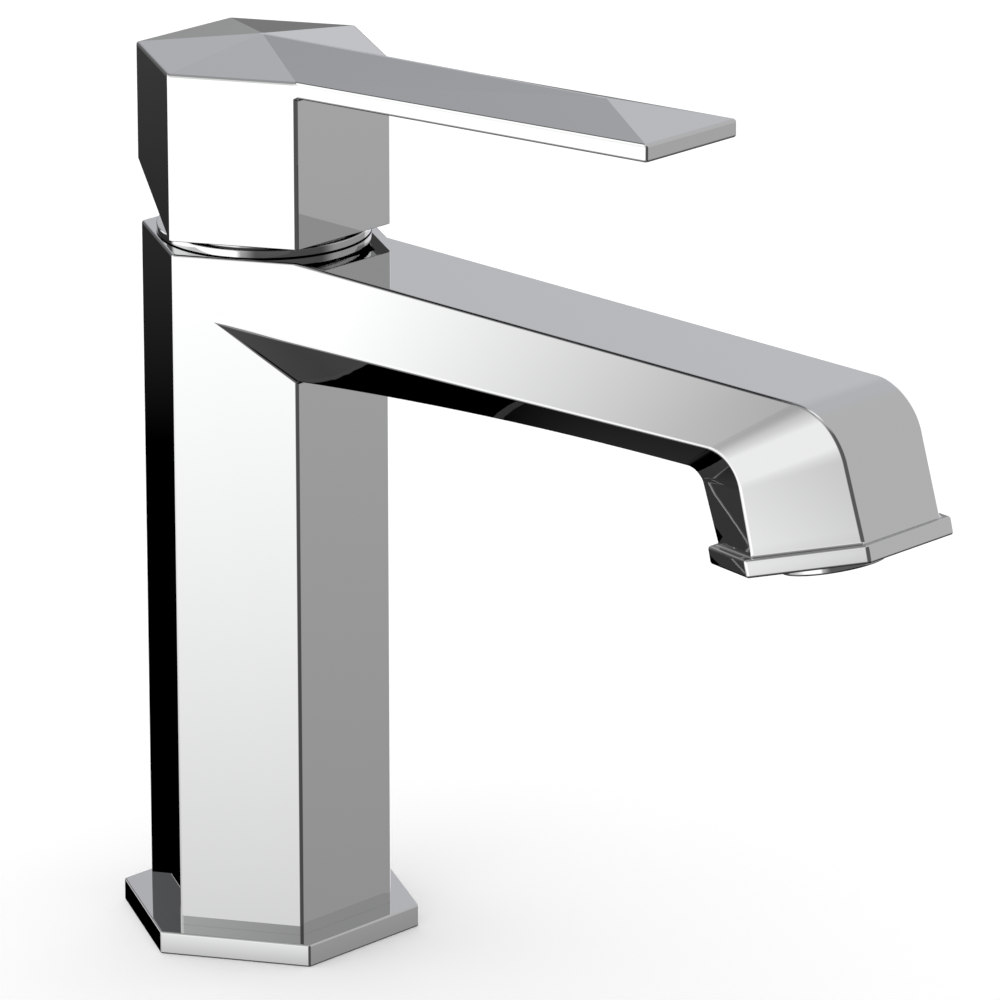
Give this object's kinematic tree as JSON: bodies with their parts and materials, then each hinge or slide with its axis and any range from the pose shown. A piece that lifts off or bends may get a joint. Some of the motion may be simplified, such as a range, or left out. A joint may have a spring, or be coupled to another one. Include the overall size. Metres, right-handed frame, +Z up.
{
  "type": "bathroom mixer faucet",
  "caption": "Deck-mounted single-lever basin mixer with a hexagonal column, a faceted spout bent down to an aerator, and a ridged flat lever on a cartridge.",
  "frame": {"origin": "on the column's axis, on the deck face under the base flange", "axes": "+Z up along the column, -Y along the spout and the closed lever, hot inlet at -X, cold inlet at +X"},
  "size_m": [0.059, 0.1869, 0.1801],
  "materials": {
    "polished_chrome": "brass casting, bright chrome plated, mirror polished",
    "raw_brass": "machined, unplated",
    "stainless_steel": "fine turned",
    "black_rubber": "moulded, matt",
    "white_plastic": "moulded, satin",
    "blue_plastic": "moulded, satin",
    "grey_plastic": "glass-filled, satin",
    "white_ceramic": "lapped alumina"
  },
  "bodies": {
    "mixer": {"body": "polished_chrome", "base_flange": "polished_chrome", "base_gasket": "black_rubber", "waterway_insert": "grey_plastic", "hot_inlet_port": "raw_brass", "cold_inlet_port": "raw_brass", "front_stud_socket": "raw_brass", "rear_stud_socket": "raw_brass", "insert_o_ring": "black_rubber", "insert_circlip": "stainless_steel", "cartridge_base": "white_plastic", "hot_inlet_seal": "black_rubber", "cold_inlet_seal": "black_rubber", "fixed_ceramic_disc": "white_ceramic", "cartridge_housing": "white_plastic", "cartridge_seal": "black_rubber", "cartridge_nut": "raw_brass", "cartridge_dome": "polished_chrome", "aerator_housing": "polished_chrome", "aerator_insert": "white_plastic", "aerator_screen": "stainless_steel", "aerator_washer": "black_rubber"},
    "swivel": {"cartridge_guide": "blue_plastic", "stem_pin": "stainless_steel"},
    "carriage": {"disc_carrier": "blue_plastic", "moving_ceramic_disc": "white_ceramic"},
    "lever": {"handle": "polished_chrome", "cartridge_stem": "stainless_steel", "handle_grub_screw": "stainless_steel", "handle_screw_plug": "polished_chrome"}
  },
  "joints": [
    {"name": "handle_turn", "type": "hinge", "parent": "mixer", "child": "swivel", "pos_m": [0, 0, 0.1285], "axis": [0, 0, 1], "range_deg": [-50, 50]},
    {"name": "handle_lift", "type": "hinge", "parent": "swivel", "child": "lever", "pos_m": [0, 0, 0.1285], "axis": [-1, 0, 0], "range_deg": [0, 22]},
    {"name": "disc_slide", "type": "slide", "parent": "swivel", "child": "carriage", "axis": [0, -1, 0], "range_m": [0, 0.0035]}
  ],
  "couplings": [
    {"joint": "disc_slide", "follows": "handle_lift", "m_per_rad": 0.008943}
  ]
}
